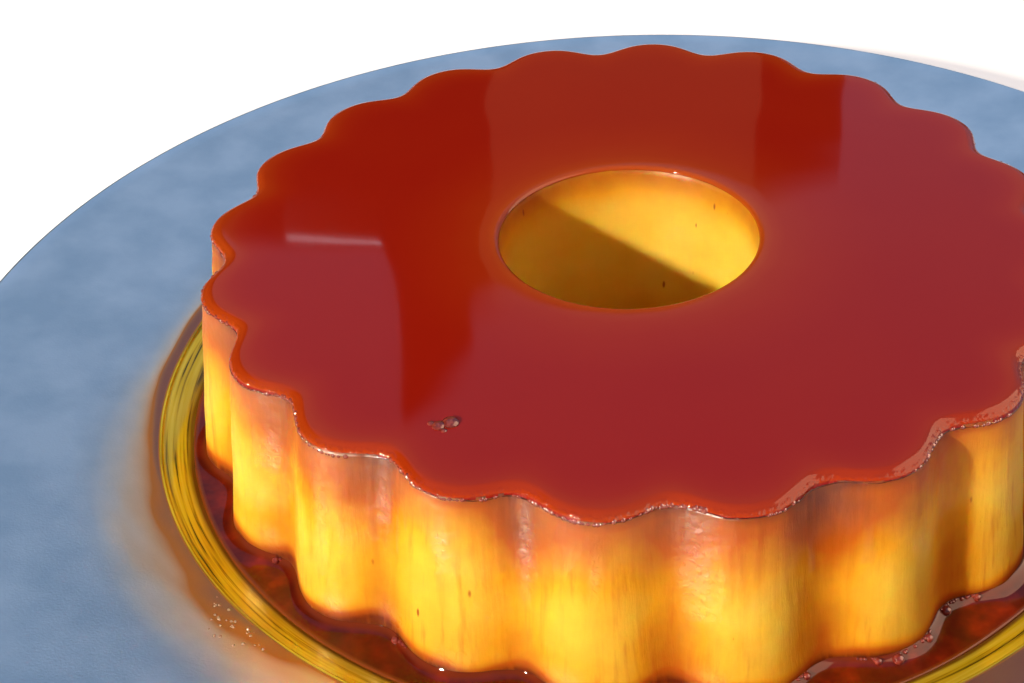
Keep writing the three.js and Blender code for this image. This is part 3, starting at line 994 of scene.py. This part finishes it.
on_lip, lip_size = lip_beads()
on_rim, rim_size = splash_beads()
bead_size = np.concatenate([lip_size, rim_size])
points, quads, triangles = balls(np.vstack([on_lip, on_rim]), np.stack([bead_size] * 3, -1))
on_metal = np.repeat([0, 1], [len(lip_size), len(rim_size)])
on_metal = np.repeat(on_metal, len(points) // len(bead_size))
beads = make_piece("syrup_beads", points, quads, triangles, bead_syrup(), on_metal=on_metal)
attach(beads, "root")

# ---------------------------------------------------------------------------------------------
# The stage: a plain pale floor, a low key light from the left front, a soft light overhead, two
# weak warm fills in the shade, and the camera. A card on the right and a lamp at the key's place
# show only in the gloss of what is wet, and the room round it all shows only in reflections.

FLOOR_HALF = 30.0
# Lights: direction and height in degrees, distance and size in metres.
KEY = {"from": 227, "up": 26, "away": 2.2, "size": 0.12, "watts": 58, "glint_watts": 360}
CARD = {"from": 0, "up": 33, "away": 1.2, "size": 1.6, "watts": 42}
FILL = {"from": (318, 75), "up": 10, "away": 1.2, "size": 0.8, "watts": 3.4}
OVERHEAD = {"height": 1.6, "size": 1.6, "watts": 12}
KEY_COLOUR, CARD_COLOUR, FILL_COLOUR = "#fff4e0", "#ffc8a0", "#ff8430"
CAMERA_AT = Vector((-0.003, -0.35203, 0.27466))
CAMERA_AIM = Vector((-0.02881, -0.04393, 0.0515))  # a point on the top that it looks at
CAMERA_ROLL = math.radians(-3.427)
CAMERA_LENS = 60.912


def pale_floor():
    """A matt off-white table top, with a little light of its own so that it stays pale."""
    material, tree = new_material("matt_white_table")
    shader = add_node(
        tree, "BsdfPrincipled",
        {"Base Color": srgb("#fbfbfa"), "Roughness": 0.6, "Emission Color": srgb("#ffffff"),
         "Emission Strength": 0.4},
    )
    add_node(tree, "OutputMaterial", {"Surface": shader.outputs["BSDF"]})
    return material


corners = FLOOR_HALF * np.array([[-1, -1, 0], [1, -1, 0], [1, 1, 0], [-1, 1, 0]])
floor = make_piece("floor", corners, [[0, 1, 2, 3]], [], pale_floor())


def add_light(name, place, size, watts, colour):
    """A square soft light that faces the middle of the flan."""
    lamp = bpy.data.lights.new(name, "AREA")
    lamp.size = size
    lamp.energy = watts
    lamp.color = srgb(colour)[:3]
    light = bpy.data.objects.new(name, lamp)
    light.location = place
    light.rotation_euler = (Vector((0, 0, 0.03)) - place).to_track_quat("-Z", "Y").to_euler()
    bpy.context.scene.collection.objects.link(light)
    return light


def from_middle(azimuth, elevation, distance):
    """A place at a distance, azimuth and elevation from the middle, in degrees."""
    a, e = math.radians(azimuth), math.radians(elevation)
    return distance * Vector((math.cos(a) * math.cos(e), math.sin(a) * math.cos(e), math.sin(e)))


key_place = from_middle(KEY["from"], KEY["up"], KEY["away"])
add_light("key", key_place, KEY["size"], KEY["watts"], KEY_COLOUR)
card_place = from_middle(CARD["from"], CARD["up"], CARD["away"])
card = add_light("card", card_place, CARD["size"], CARD["watts"], CARD_COLOUR)
card.visible_diffuse = False
wet_things = bpy.data.collections.new("wet_things")
for piece in (custard, caramel, well_sauce, hole_sauce, bubbles, beads):
    wet_things.objects.link(piece)
card.light_linking.receiver_collection = wet_things
for azimuth in FILL["from"]:
    fill_place = from_middle(azimuth, FILL["up"], FILL["away"])
    fill = add_light("fill", fill_place, FILL["size"], FILL["watts"], FILL_COLOUR)
    fill.visible_glossy = False
glint = add_light("key_glint", key_place, KEY["size"], KEY["glint_watts"], KEY_COLOUR)
glint.visible_diffuse = False
glint.light_linking.receiver_collection = wet_things
overhead_place = Vector((0, 0, OVERHEAD["height"]))
overhead = add_light("overhead", overhead_place, OVERHEAD["size"], OVERHEAD["watts"], "#ffffff")
overhead.visible_glossy = False

# The room: a pale sky opens towards one side above walls of several heights, with a thin bright
# ledge at its edge. Walls change from one direction to the next, given as x / y in front.
SKY_TOWARDS = (0.6, 0.3, 1.0)
SKY_EDGE = (0.605, 0.620)  # the sky starts where the lean towards it, less the wall, passes this
LEDGE, LEDGE_WIDTH, LEDGE_GLOW = 0.609, 0.0007, 6
SKY_COLOUR, SIDE_WALL_COLOUR = "#96aed3", "#828c99"
world = bpy.data.worlds.new("room_with_skylight")
world.use_nodes = True
tree = world.node_tree
direction = add_node(tree, "TexCoord").outputs["Generated"]
parts = add_node(tree, "SeparateXYZ", {"Vector": direction})
sideways = add_node(
    tree, "Math", {0: parts.outputs["X"], 1: parts.outputs["Y"]}, operation="DIVIDE"
)
along = add_node(
    tree, "MapRange", {"Value": sideways.outputs[0], "From Min": -0.5, "From Max": 0.5}
)
walls = add_node(
    tree, "ValToRGB", {"Fac": along.outputs["Result"]},
    stops=[
        (0.2, "#000000"), (0.332, "#535353"), (0.336, "#707070"), (0.386, "#707070"),
        (0.392, "#6c6c6c"), (0.643, "#818181"), (0.647, "#303030"),
    ],
)
wall_colour = add_node(
    tree, "ValToRGB", {"Fac": along.outputs["Result"]},
    stops=[(0.0, "#40362f"), (0.41, "#b98566"), (0.585, "#40362f")],
)
wall_colour.color_ramp.interpolation = "CONSTANT"
ledge = add_node(
    tree, "ValToRGB", {"Fac": along.outputs["Result"]},
    stops=[(0.0, "#000000"), (0.262, "#e8f0ff"), (0.334, "#000000")],
)
ledge.color_ramp.interpolation = "CONSTANT"
leaning = add_node(tree, "VectorMath", {0: direction, 1: SKY_TOWARDS}, operation="DOT_PRODUCT")
cleared = add_node(
    tree, "Math", {0: leaning.outputs["Value"], 1: walls.outputs["Color"]}, operation="SUBTRACT"
)
above = add_node(
    tree, "MapRange",
    {"Value": cleared.outputs[0], "From Min": SKY_EDGE[0], "From Max": SKY_EDGE[1]},
    interpolation_type="SMOOTHSTEP",
)
aside = add_node(
    tree, "MapRange", {"Value": parts.outputs["Y"], "From Min": 0.25, "From Max": 0.05}
)
wall_tone = add_node(
    tree, "Mix",
    {0: aside.outputs["Result"], 6: wall_colour.outputs["Color"], 7: srgb(SIDE_WALL_COLOUR)},
    data_type="RGBA",
)
room = add_node(
    tree, "Mix", {0: above.outputs["Result"], 6: wall_tone.outputs[2], 7: srgb(SKY_COLOUR)},
    data_type="RGBA",
)
edge_of_sky = add_node(
    tree, "Math", {0: cleared.outputs[0], 1: LEDGE, 2: LEDGE_WIDTH}, operation="COMPARE"
)
lit = add_node(
    tree, "Mix", {0: edge_of_sky.outputs[0], 6: srgb("#000000"), 7: ledge.outputs["Color"]},
    data_type="RGBA",
)
with_ledge = add_node(
    tree, "VectorMath", {0: lit.outputs[2], 1: [LEDGE_GLOW] * 3, 2: room.outputs[2]},
    operation="MULTIPLY_ADD",
)
tree.links.new(with_ledge.outputs[0], tree.nodes["Background"].inputs["Color"])
bpy.context.scene.world = world
world.cycles_visibility.diffuse = False
bpy.context.scene.view_settings.view_transform = "Standard"

lens = bpy.data.cameras.new("camera")
lens.sensor_width = 36
lens.lens = CAMERA_LENS
lens.clip_start = 0.01
camera = bpy.data.objects.new("camera", lens)
camera.location = CAMERA_AT
looking = (CAMERA_AIM - CAMERA_AT).to_track_quat("-Z", "Y")
camera.rotation_euler = (looking @ Quaternion((0, 0, 1), CAMERA_ROLL)).to_euler()
bpy.context.scene.collection.objects.link(camera)
bpy.context.scene.camera = camera
